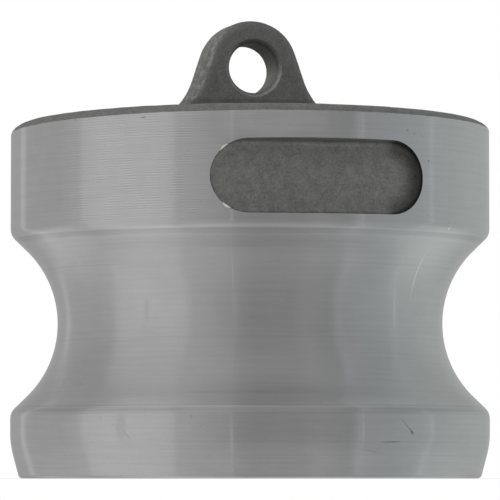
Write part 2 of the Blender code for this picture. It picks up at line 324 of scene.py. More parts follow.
def solidOfRevolution(outline, columns, turn=0.0):
    # The outline is radius and height, and runs down the outside from axis to axis
    shape = bmesh.new()
    angles = [turn + 2 * pi * i / columns for i in range(columns)]
    rings = []
    for r, z in outline:
        if r < 1e-9:  # on the axis
            rings.append([shape.verts.new((0, 0, z))])
        else:
            rings.append([shape.verts.new((r * cos(a), r * sin(a), z)) for a in angles])
    for upper, lower in zip(rings, rings[1:]):
        for i in range(columns):
            j = (i + 1) % columns
            if len(upper) == 1:
                corners = (upper[0], lower[i], lower[j])
            elif len(lower) == 1:
                corners = (upper[i], lower[0], upper[j])
            else:
                corners = (upper[i], lower[i], lower[j], upper[j])
            shape.faces.new(corners)
    return shape


# The casting before it is turned, in millimetres and degrees. It sits a little out of true in the
# lathe. The skin is soft swells and grain, which fade out below skinFrom.
casting = {
    "headHeight": 39.4, "rimRadius": 1.75, "allowance": 0.25, "draft": 2.0,
    "runout": 0.05, "tilt": 0.3, "lean": 1.2, "leanTo": -17.0,
    "columns": 480, "firstColumn": 0.23, "topStep": 0.5, "rimSteps": 12,
    "sideStep": 0.3, "sideRings": 8,
    "hollowDiameter": 35.0, "hollowDraft": 1.5, "hollowCorner": 4.0, "headThickness": 6.0,
    "mouthBevel": 0.8, "hollowSteps": 12, "hollowColumns": 180,
    "skinDepth": 0.05, "skinSize": 1.6, "skinPlace": (3.1, 7.7, 1.9),
    "grainDepth": 0.018, "grainSize": 0.45, "grainPlace": (9.2, 4.4, 6.1),
    "skinFrom": 25.0, "skinFade": 2.0,
}


def castSkin(shape, share):
    # Sinks the skin of a solid, or swells that of a cutting shape, so it never adds metal
    shape.normal_update()
    moves = []
    for vert in shape.verts:
        swell = noise.noise(vert.co / casting["skinSize"] + Vector(casting["skinPlace"]))
        grain = noise.noise(vert.co / casting["grainSize"] + Vector(casting["grainPlace"]))
        depth = casting["skinDepth"] * (0.5 + 0.5 * swell)
        depth += casting["grainDepth"] * (0.5 + 0.5 * grain)
        depth *= min(max((vert.co.z - casting["skinFrom"]) / casting["skinFade"], 0), 1)
        moves.append((vert, vert.normal * depth * share))
    for vert, move in moves:
        vert.co -= move


def blankShape():
    radius = turnedPart["diameter"] / 2 + casting["allowance"]
    rim = casting["rimRadius"]
    height = casting["headHeight"]
    step = casting["sideStep"]
    rings = int((radius - rim) / casting["topStep"])
    outline = [((radius - rim) * i / rings, height) for i in range(rings)]
    outline += arc((radius - rim, height - rim), rim, pi / 2, 0, casting["rimSteps"])
    slope = tan(radians(casting["draft"]))
    outline += [(radius + step * i * slope, height - rim - step * i)
                for i in range(1, casting["sideRings"] + 1)]
    outline += [(radius + (height - rim + past) * slope, -past), (0, -past)]
    return solidOfRevolution(outline, casting["columns"], radians(casting["firstColumn"]))


def hollowShape():
    depth = casting["headHeight"] - casting["headThickness"]
    mouth = casting["hollowDiameter"] / 2
    bevel = casting["mouthBevel"]
    draft = tan(radians(casting["hollowDraft"]))
    bevelTop = (mouth - bevel * draft, bevel)
    inner = (mouth - depth * draft, depth)
    flare = bevel + past
    outline = [(0, depth)]
    outline += fillet((0, depth), inner, bevelTop, casting["hollowCorner"],
                      casting["hollowSteps"])
    outline += [bevelTop, (bevelTop[0] + flare, bevel - flare), (0, bevel - flare)]
    return solidOfRevolution(outline, casting["hollowColumns"])


# The turned outside, in millimetres and degrees
turnedPart = {
    "diameter": 53.4,
    "grooveRoot": 42.9, "grooveRadius": 11.3, "grooveHeight": 17.2, "grooveFlank": 46.0,
    "headEdge": 1.5, "noseLandEdge": 1.6, "noseEdge": 0.5,
    "taperHeight": 3.8, "taperAngle": 15.0, "taperBlend": 10.0,
    "columns": 360, "grooveSteps": 60, "edgeSteps": 8,
    "normalBlend": 0.15, "crease": 38.0,
}


def envelopeOutline():
    part = turnedPart
    radius = part["diameter"] / 2
    flank = radians(part["grooveFlank"])
    centre = (part["grooveRoot"] / 2 + part["grooveRadius"], part["grooveHeight"])
    groove = arc(centre, part["grooveRadius"], pi - flank, pi + flank, part["grooveSteps"])
    run = (radius - groove[0][0]) * cos(flank) / sin(flank)
    top = (radius, casting["headHeight"] + lug["eyeRise"] + lug["crown"] + past)
    upperEdge = (radius, groove[0][1] + run)
    lowerEdge = (radius, groove[-1][1] - run)
    taperTop = (radius, part["taperHeight"])
    noseEdge = (radius - part["taperHeight"] * tan(radians(part["taperAngle"])), 0)
    steps = part["edgeSteps"]
    outline = [(0, top[1]), top]
    outline += fillet(top, upperEdge, groove[0], part["headEdge"], steps)
    outline += groove[1:-1]
    outline += fillet(groove[-1], lowerEdge, taperTop, part["noseLandEdge"], steps)
    outline += fillet(lowerEdge, taperTop, noseEdge, part["taperBlend"], steps)
    outline += fillet(taperTop, noseEdge, (0, 0), part["noseEdge"], steps)
    outline += [(0, 0)]
    return outline


def shadeTurnedFaces(mesh):
    # Facets of the lathe work get the exact normals of the turned outline
    outline = envelopeOutline()
    tilts = []
    for (r0, z0), (r1, z1) in zip(outline[1:-2], outline[2:-1]):
        tilt = atan2(r1 - r0, z0 - z1)
        inset = min(turnedPart["normalBlend"], (z0 - z1) / 2)
        tilts += [(z0 - inset, tilt), (z1 + inset, tilt)]
    tilts.sort()

    def tiltAt(z):
        for (z0, t0), (z1, t1) in zip(tilts, tilts[1:]):
            if z <= z1:
                share = 0 if z1 - z0 < 1e-6 else min(max((z - z0) / (z1 - z0), 0), 1)
                return t0 + (t1 - t0) * share
        return tilts[-1][1]

    turnedIndex = next(i for i, m in enumerate(mesh.materials) if m.name == "turnedAluminium")
    shape = bmesh.new()
    shape.from_mesh(mesh)
    for face in shape.faces:
        face.smooth = True
    for edge in shape.edges:
        turned = [face.material_index == turnedIndex for face in edge.link_faces]
        toCast = len(turned) == 2 and turned[0] != turned[1]
        edge.smooth = not (toCast or edge.calc_face_angle(pi) > radians(turnedPart["crease"]))
    shape.to_mesh(mesh)
    shape.free()
    normals = [Vector(corner.vector) for corner in mesh.corner_normals]
    known = {}
    for face in mesh.polygons:
        if face.material_index != turnedIndex:
            continue
        noseFace = face.normal.z < -0.999
        for k in face.loop_indices:
            if noseFace:
                normals[k] = Vector((0, 0, -1))
                continue
            co = mesh.vertices[mesh.loops[k].vertex_index].co
            height = round(co.z, 5)
            if height not in known:
                known[height] = tiltAt(co.z)
            tilt = known[height]
            out = Vector((co.x, co.y, 0)).normalized()
            normals[k] = (out * cos(tilt) + Vector((0, 0, sin(tilt)))).normalized()
    mesh.normals_split_custom_set(normals)


# The recess in the head, left plain, in millimetres and degrees. Its right end is darker beyond a
# point with painted shade, by how far round that point the metal is; squash narrows the painted
# shade up and down.
recess = {
    "length": 23.9, "width": 7.8, "height": 32.12, "floor": 23.3, "draft": 2.0, "corner": 0.6,
    "step": 0.3, "cornerSteps": 6, "middleSlot": 0.02, "past": 1.0,
    "shade": {"x": 7.9, "squash": 0.85, "from": 1.4, "to": 4.35, "tone": 0.16, "edge": 1.0},
}


def obround(length, width, step):
    # Round-ended outline, counter-clockwise, with the same number of points at any inset
    radius = recess["width"] / 2
    across = max(2, round((recess["length"] - recess["width"]) / step))
    around = max(8, round(pi * radius / step))
    reach = length / 2 - width / 2
    points = arc((reach, 0), width / 2, -pi / 2, pi / 2, around)
    points += [(reach - 2 * reach * i / across, width / 2) for i in range(1, across)]
    points += arc((-reach, 0), width / 2, pi / 2, 3 * pi / 2, around)
    points += [(-reach + 2 * reach * i / across, -width / 2) for i in range(1, across)]
    return points


def recessShape():
    outside = turnedPart["diameter"] / 2
    surface = sqrt(outside ** 2 - (recess["length"] / 2) ** 2)
    corner = recess["corner"]
    floor = recess["floor"]
    draft = tan(radians(recess["draft"]))
    sections = []  # how far out from the axis, and how far in from the wall
    inset = recess["width"] / 2 - recess["middleSlot"]
    while inset > corner:
        sections.append((floor, inset))
        inset -= recess["step"]
    for i in range(recess["cornerSteps"] + 1):
        turn = pi / 2 * i / recess["cornerSteps"]
        sections.append((floor + corner * (1 - cos(turn)), corner * (1 - sin(turn))))
    out = floor + corner
    while out < outside + recess["past"]:
        out += recess["step"]
        sections.append((out, 0))
    shape = bmesh.new()
    rings = []
    for distance, inset in sections:
        growth = 2 * ((distance - surface) * draft - inset)
        outline = obround(recess["length"] + growth, recess["width"] + growth, recess["step"])
        rings.append([shape.verts.new((x, -distance, recess["height"] + z)) for x, z in outline])
    for inner, outer in zip(rings, rings[1:]):
        for i in range(len(inner)):
            j = (i + 1) % len(inner)
            shape.faces.new((inner[i], inner[j], outer[j], outer[i]))
    shape.faces.new(rings[0])
    shape.faces.new(rings[-1])
    bmesh.ops.recalc_face_normals(shape, faces=shape.faces)
    return shape


def recessPaintedShade(tree, position):
    # Painted shade: a darker crescent over the right end of the recess
    shade = recess["shade"]
    off = addNode(tree, "ShaderNodeVectorMath", {
        0: position, 1: (shade["x"] * mm, 0, recess["height"] * mm)}, operation="SUBTRACT")
    off = addNode(tree, "ShaderNodeVectorMath", {0: off, 1: (1, 0, shade["squash"])},
                  operation="MULTIPLY")
    far = addNode(tree, "ShaderNodeVectorMath", {0: off}, operation="LENGTH").outputs["Value"]
    darker = addNode(tree, "ShaderNodeMapRange", {
        "Value": far, "From Min": shade["from"] * mm, "From Max": shade["to"] * mm,
        "To Min": 0.0, "To Max": shade["tone"] - 1}, interpolation_type="SMOOTHSTEP")
    aside = addNode(tree, "ShaderNodeSeparateXYZ", {0: off}).outputs["X"]
    right = addNode(tree, "ShaderNodeMapRange", {
        "Value": aside, "From Min": 0.0, "From Max": shade["edge"] * mm})
    return addNode(tree, "ShaderNodeMath", {0: darker, 1: right, 2: 1.0},
                   operation="MULTIPLY_ADD")


# The lug that a chain or cable ties to, in millimetres and degrees. Its left edge gets painted
# highlights in spots, and its foot a line of painted shade. In the eye, each painted light or
# shade grows in one direction from the middle.
lug = {
    "thickness": 5.0, "edge": 1.0, "crown": 5.35, "splay": 19.0, "flare": 7.6, "foot": 3.0,
    "offset": -0.28, "eye": 5.5, "lip": 0.8, "lipTurn": 70.0, "eyeRise": 6.27,
    "sink": 0.12, "root": 2.0,
    "step": 0.28, "flatSteps": 5, "edgeSteps": 6, "cheekSteps": 36,
    "lipSteps": 8, "wallSteps": 10, "eyeColumns": 120,
    # painted highlights in spots on the faces of the lug that look left
    "litEdge": {"from": -0.3, "to": -0.6, "spot": 0.6, "spotFrom": 0.4, "spotTo": 0.65,
               "tone": 0.75},
    # painted shade: a dark line along the lug's foot, lighter below it
    "footShade": {"from": 40.0, "to": 41.8, "head": 1.1, "tone": 0.68,
             "cheekFrom": 42.0, "cheekTo": 42.35, "cheek": 0.24},
    # painted highlight on the eye's lip, and painted shade and highlights inside the bore
    "lipHighlight": 1.4, "lipDepth": 1.0,
    "eyeLightAndShade": [((0.45, 0, 0.9), 0.0, 2.2, 0.62), ((0.9, 0, -0.45), 1.4, 2.9, 1.25)],
}


def lugShape():
    splay = radians(lug["splay"])
    foot = casting["headHeight"] - lug["sink"]
    eyeHeight = casting["headHeight"] + lug["eyeRise"]
    crown, flare, half = lug["crown"], lug["flare"], lug["thickness"] / 2
    flareZ = foot + flare
    crownEnd = Vector((crown * cos(splay), eyeHeight + crown * sin(splay)))
    flareTopZ = flareZ - flare * sin(splay)
    flareTop = Vector((crownEnd.x + (crownEnd.y - flareTopZ) * tan(splay), flareTopZ))
    flareCentre = Vector((flareTop.x + flare * cos(splay), flareZ))
    crownCentre = Vector((0, eyeHeight))
    step = lug["step"]
    # up the right side of the lug, each point with the direction out of it
    edge = []
    flareSteps = round(flare * (pi / 2 - splay) / step)
    for p in arc(flareCentre, flare, 3 * pi / 2, pi + splay, flareSteps):
        edge.append((Vector(p), (flareCentre - Vector(p)).normalized()))
    straightSteps = round((crownEnd - flareTop).length / step)
    side = Vector((cos(splay), sin(splay)))
    for i in range(1, straightSteps):
        edge.append((flareTop.lerp(crownEnd, i / straightSteps), side))
    crownSteps = round(crown * (pi / 2 - splay) / step)
    for p in arc(crownCentre, crown, splay, pi / 2, crownSteps):
        edge.append((Vector(p), (Vector(p) - crownCentre).normalized()))

    def row(point, outwards):
        # round the lug at one height: points, and the share of the half thickness in front
        flat, rounded, wide = lug["flatSteps"], lug["edgeSteps"], lug["cheekSteps"]
        across = [(0, i / flat * (1 - lug["edge"] / half)) for i in range(flat + 1)]
        for i in range(1, rounded + 1):
            turn = pi / 2 * i / rounded
            across.append((lug["edge"] * (1 - cos(turn)),
                           1 - lug["edge"] * (1 - sin(turn)) / half))
        right = [(point - outwards * inset, share) for inset, share in across]
        left = [(Vector((-p.x, p.y)), share) for p, share in reversed(right)]
        cheek = [(right[-1][0].lerp(left[0][0], i / wide), 1) for i in range(1, wide)]
        front = right + cheek + left
        back = [(p, -share) for p, share in reversed(front[1:-1])]
        return front + back

    def thickness(z):
        into = min(max(foot + lug["foot"] - z, 0), lug["foot"])
        return half + lug["foot"] - sqrt(lug["foot"] ** 2 - into ** 2)

    rows = [row(point, outwards) for point, outwards in edge]
    rootZ = casting["headHeight"] - lug["root"]
    root = [(Vector((p.x, rootZ)), share) for p, share in rows[0]]
    shape = bmesh.new()
    lofted = [[shape.verts.new((p.x, -share * thickness(p.y), p.y)) for p, share in points]
              for points in [root] + rows]
    for lower, upper in zip(lofted, lofted[1:]):
        for i in range(len(lower)):
            j = (i + 1) % len(lower)
            shape.faces.new((lower[j], lower[i], upper[i], upper[j]))
    shape.faces.new(lofted[0])
    bmesh.ops.remove_doubles(shape, verts=shape.verts, dist=0.01)
    bmesh.ops.recalc_face_normals(shape, faces=shape.faces)
    bmesh.ops.translate(shape, verts=shape.verts, vec=(lug["offset"], 0, 0))
    return shape


def lugPaintedLight(tree, position):
    # Painted highlights on the left-facing side, and a line of painted shade over the foot
    litEdge, footShade = lug["litEdge"], lug["footShade"]
    facing = addNode(tree, "ShaderNodeNewGeometry").outputs["Normal"]
    side = addNode(tree, "ShaderNodeSeparateXYZ", {0: facing}).outputs["X"]
    edge = addNode(tree, "ShaderNodeMapRange", {
        "Value": side, "From Min": litEdge["from"], "From Max": litEdge["to"]},
        interpolation_type="SMOOTHSTEP")
    spots = addNode(tree, "ShaderNodeTexNoise", {
        "Vector": position, "Scale": 1 / (litEdge["spot"] * mm), "Detail": 3.0, "Roughness": 0.7})
    spots = addNode(tree, "ShaderNodeMapRange", {
        "Value": spots, "From Min": litEdge["spotFrom"], "From Max": litEdge["spotTo"],
        "To Min": 0.0, "To Max": litEdge["tone"]})
    pale = addNode(tree, "ShaderNodeMath", {0: edge, 1: spots, 2: 1.0}, operation="MULTIPLY_ADD")
    # painted shade along the foot of the lug
    height = addNode(tree, "ShaderNodeSeparateXYZ", {0: position}).outputs["Z"]
    foot = addNode(tree, "ShaderNodeMapRange", {
        "Value": height, "From Min": footShade["from"] * mm, "From Max": footShade["to"] * mm,
        "To Min": footShade["head"], "To Max": footShade["tone"]}, interpolation_type="SMOOTHSTEP")
    cheek = addNode(tree, "ShaderNodeMapRange", {
        "Value": height, "From Min": footShade["cheekFrom"] * mm, "From Max": footShade["cheekTo"] * mm,
        "To Min": 0.0, "To Max": footShade["cheek"]})
    footShading = addNode(tree, "ShaderNodeMath", {0: foot, 1: cheek}, operation="ADD")
    return addNode(tree, "ShaderNodeMath", {0: pale, 1: footShading}, operation="MULTIPLY")


def eyeShape():
    wall = lug["eye"] / 2
    cheek = lug["thickness"] / 2
    turn = radians(lug["lipTurn"])
    steps = lug["wallSteps"]
    lip = arc((wall + lug["lip"], cheek - lug["lip"] * sin(turn)), lug["lip"], pi, pi - turn,
              lug["lipSteps"])
    end = (lip[-1][0] + past * tan(turn), cheek + past)
    upper = [(0, end[1]), end, *reversed(lip)]
    middle = [(wall, lip[0][1] * (1 - 2 * i / steps)) for i in range(1, steps)]
    lower = [(r, -z) for r, z in reversed(upper)]
    shape = solidOfRevolution(upper + middle + lower, lug["eyeColumns"])
    place = Matrix.Translation((lug["offset"], 0, casting["headHeight"] + lug["eyeRise"]))
    place = place @ Matrix.Rotation(pi / 2, 4, "X")
    bmesh.ops.transform(shape, matrix=place, verts=shape.verts)
    return shape


def eyePaintedLight(tree, position):
    # Painted shade at the upper right of the bore, painted highlights at its lower right and lip
    middle = ((lug["offset"] + casting["runout"]) * mm, 0,
              (casting["headHeight"] + lug["eyeRise"]) * mm)
    off = addNode(tree, "ShaderNodeVectorMath", {0: position, 1: middle}, operation="SUBTRACT")
    depth = addNode(tree, "ShaderNodeSeparateXYZ", {0: position}).outputs["Y"]
    front = -lug["thickness"] / 2
    tone = addNode(tree, "ShaderNodeMapRange", {
        "Value": depth, "From Min": front * mm, "From Max": (front + lug["lipDepth"]) * mm,
        "To Min": lug["lipHighlight"], "To Max": 1.0})
    for towards, start, end, level in lug["eyeLightAndShade"]:
        reach = addNode(tree, "ShaderNodeVectorMath", {0: off, 1: towards},
                        operation="DOT_PRODUCT")
        share = addNode(tree, "ShaderNodeMapRange", {
            "Value": reach.outputs["Value"], "From Min": start * mm, "From Max": end * mm,
            "To Min": 1.0, "To Max": level}, interpolation_type="SMOOTHSTEP")
        tone = addNode(tree, "ShaderNodeMath", {0: tone, 1: share}, operation="MULTIPLY")
    return tone


# Bright slivers of metal that the lathe pushed up at the recess's left end, in millimetres.
# Their turns are in degrees round the middle of that end.
burr = {
    "turns": (130.0, 234.0), "halfTurn": 8.0, "width": 0.22, "height": 0.2, "root": 0.1,
    "gap": 0.02, "tip": 0.01, "thinEnd": 0.04, "steps": 12, "colour": "#fff9f2", "roughness": 0.3,
}


def burrShape():
    shape = bmesh.new()
    endX = -(recess["length"] - recess["width"]) / 2
    edge = recess["width"] / 2 + burr["gap"]
    steps = burr["steps"]
    for middle in burr["turns"]:
        rings = []
        for i in range(steps + 1):
            share = sin(pi * (burr["thinEnd"] + (1 - 2 * burr["thinEnd"]) * i / steps))
            turn = radians(middle + burr["halfTurn"] * (2 * i / steps - 1))
            width, height = burr["width"] * share, burr["height"] * share
            section = ((0, -burr["root"]), (0, height), (width, burr["tip"]),
                       (width, -burr["root"]))
            ring = []
            for out, up in section:
                x = endX + (edge + out) * cos(turn)
                z = recess["height"] + (edge + out) * sin(turn)
                surface = sqrt((turnedPart["diameter"] / 2) ** 2 - x * x)
                ring.append(shape.verts.new((x, -surface - up, z)))
            rings.append(ring)
        for before, after in zip(rings, rings[1:]):
            for k in range(4):
                shape.faces.new((before[k], before[k - 1], after[k - 1], after[k]))
        shape.faces.new(rings[0])
        shape.faces.new(rings[-1])
    bmesh.ops.recalc_face_normals(shape, faces=shape.faces)
    return shape


def makeTornAluminium():
    # Aluminium, freshly torn by the tool, so it glints warm and bright
    material, tree, output = newMaterial("tornAluminium")
    metal = addNode(tree, "ShaderNodeBsdfPrincipled", {
        "Base Color": hexColour(burr["colour"]), "Metallic": 1.0,
        "Roughness": burr["roughness"]})
    tree.links.new(metal.outputs[0], output.inputs["Surface"])
    return material


def makePlug(metals):
    # The recess and the hollow sit square in the casting. Its top and the lug lean, and the left
    # front is the high side.
    height = casting["headHeight"]
    tilt = radians(casting["tilt"])
    coresPlace = Matrix.Translation((casting["runout"] + height * sin(tilt), 0, 0))
    coresPlace = coresPlace @ Matrix.Rotation(-tilt, 4, "Y")
    aboutHead = Matrix.Translation((0, 0, height))
    leanTo = Matrix.Rotation(radians(casting["leanTo"]), 4, "Z")
    lean = Matrix.Rotation(-radians(casting["lean"]), 4, "X")
    castPlace = coresPlace @ aboutHead @ leanTo @ lean @ leanTo.inverted() @ aboutHead.inverted()
    # each shape's metal, its place, and its share of the cast skin, below 0 where it cuts
    envelope = solidOfRevolution(envelopeOutline(), turnedPart["columns"])
    parts = {
        "camlockDustPlug": (blankShape(), "cast", castPlace, 1.0),
        "lugTool": (lugShape(), "lug", castPlace, 1.0),
        "eyeTool": (eyeShape(), "eye", castPlace, -0.6),
        "recessTool": (recessShape(), "recess", coresPlace, -0.7),
        "hollowTool": (hollowShape(), "cast", coresPlace, 0.0),
        "burrTool": (burrShape(), "torn", coresPlace, 0.0),
        "envelopeTool": (envelope, "turned", Matrix(), 0.0),
    }
    solids = {}
    for name, (shape, metal, place, skin) in parts.items():
        if skin:
            castSkin(shape, skin)
        bmesh.ops.transform(shape, matrix=place, verts=shape.verts)
        solids[name] = objectFrom(shape, name, metals[metal])
    plug = solids.pop("camlockDustPlug")
    for solid, tool, operation in (
            (solids["lugTool"], "eyeTool", "DIFFERENCE"), (plug, "lugTool", "UNION"),
            (plug, "recessTool", "DIFFERENCE"), (plug, "hollowTool", "DIFFERENCE"),
            (plug, "envelopeTool", "INTERSECT"), (plug, "burrTool", "UNION")):
        modifier = solid.modifiers.new(tool, "BOOLEAN")
        modifier.operation = operation
        modifier.object = solids[tool]
        modifier.solver = "MANIFOLD"
        modifier.material_mode = "TRANSFER"
    evaluated = plug.evaluated_get(bpy.context.evaluated_depsgraph_get())
    mesh = bpy.data.meshes.new_from_object(evaluated)
    plug.modifiers.clear()
    plug.data = mesh
    for tool in solids.values():
        bpy.data.objects.remove(tool)
    print("plug:", len(mesh.polygons), "faces,", [m.name for m in mesh.materials])
    shadeTurnedFaces(mesh)
    mesh.transform(Matrix.Scale(mm, 4))
    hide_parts("dust_plug")
    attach(plug, "root")


# Finish of the lathe work, in millimetres and degrees
turnedFinish = {
    "dark": "#dcdcdc", "light": "#e3e3e3", "roughFrom": 0.12, "roughTo": 0.15,
    "satin": 0.09, "satinFrom": 8.3, "satinTo": 26.2, "satinFade": 0.6,
    # the tool's feed tips the surface up and down: spacing, slope, detail, roughness. The second
    # is finer than the render shows, and only spreads reflections up and down.
    "feeds": [(0.2, 0.10, 2.0, 0.6), (0.07, 0.6, 1.0, 0.5)],
    # regular ridges of the first cut: the light they catch is painted into the colour as light and
    # dark bands, in patches, mostly on the head
    "ridge": 0.27, "ridgeShade": 0.09, "ridgeFrom": 27.6, "ridgeFade": 0.3, "ridgeBelow": 0.1,
    "ridgeTurns": (-60, -32), "ridgeTurnFade": 6, "ridgeAside": 0.25,
    "patch": 1.5, "patchFrom": 0.50, "patchTo": 0.56, "patchLow": 0.1,
    "cloud": 3.2, "cloudFrom": 0.3, "cloudTo": 0.7, "cloudShade": 0.05,
    "pit": 0.3, "pitFrom": 0.72, "pitTo": 0.80, "pitShade": 0.16,
    "streak": 0.5, "streakTurn": 1.6, "streakFrom": 0.25, "streakTo": 0.75,
    # how far out a line or a mark starts to fade and is gone, in halves of its width
    "lineFade": (0.4, 1.4), "markFade": (0.5, 1.15),
    # where a pass of the tool ended, its small step darkened with painted shade, and at the foot a
    # painted dark reflection along the nose's edge: height, half the width, how much it darkens
    "lines": [
        (26.5, 0.06, 0.08), (26.3, 0.26, 0.14), (23.05, 0.04, 0.06), (15.2, 0.04, 0.07),
        (7.83, 0.07, 0.10), (7.40, 0.22, 0.09), (6.98, 0.04, 0.08), (3.88, 0.04, 0.04),
        (0.22, 0.12, 0.16)],
    # dents, scratches and stains, and where it lightens below 0 painted highlights, reflections
    # and
    # patches of light: turn to the right of the recess, height, half the length, half the width,
    # slant, how much it darkens, or lightens below 0
    "marksAndHighlights": [
        (22.0, 37.32, 0.14, 0.09, 10, 0.45), (24.2, 36.94, 0.12, 0.09, 0, 0.40),
        (28.8, 34.14, 0.16, 0.12, 30, 0.40), (27.8, 39.15, 0.30, 0.08, 0, 0.50),
        (-42.4, 38.40, 0.35, 0.09, 0, 0.45), (37.1, 27.05, 0.25, 0.20, 60, -0.30),
        (-62.0, 38.55, 0.25, 0.07, 0, 0.35), (-33.0, 39.00, 0.20, 0.08, 0, 0.30),
        (-12.0, 38.20, 5.6, 3.0, 0, -0.26), (-8.0, 2.00, 9.0, 2.5, 0, -0.13),
        (30.0, 3.88, 9.0, 0.06, 0, 0.10), (16.0, 7.10, 5.0, 0.06, 0, 0.14),
        (21.4, 5.75, 1.15, 0.055, -43, 0.40), (22.6, 5.28, 0.16, 0.10, -43, 0.45),
        (23.2, 4.95, 0.30, 0.15, -43, 0.60), (17.2, 3.90, 1.45, 0.075, 1, 0.42),
        (35.75, 22.0, 2.70, 0.20, -85, -0.22), (29.25, 18.2, 2.20, 0.16, -84, -0.14),
        (9.6, 37.7, 1.50, 0.07, 90, -0.12), (9.6, 28.0, 0.90, 0.07, 90, -0.12),
        (9.6, 5.2, 2.20, 0.07, 90, -0.12), (-22.0, 21.6, 5.00, 0.06, 90, -0.13),
        (-22.0, 13.0, 4.60, 0.06, 90, -0.06), (11.5, 2.95, 1.60, 0.035, -8, 0.22),
        (14.0, 3.30, 0.50, 0.035, 35, 0.20), (-48.2, 5.55, 0.75, 1.60, 0, 0.10),
        (-46.6, 4.60, 0.80, 0.05, -50, 0.20), (-48.4, 18.10, 0.45, 1.40, 0, 0.07)],
}


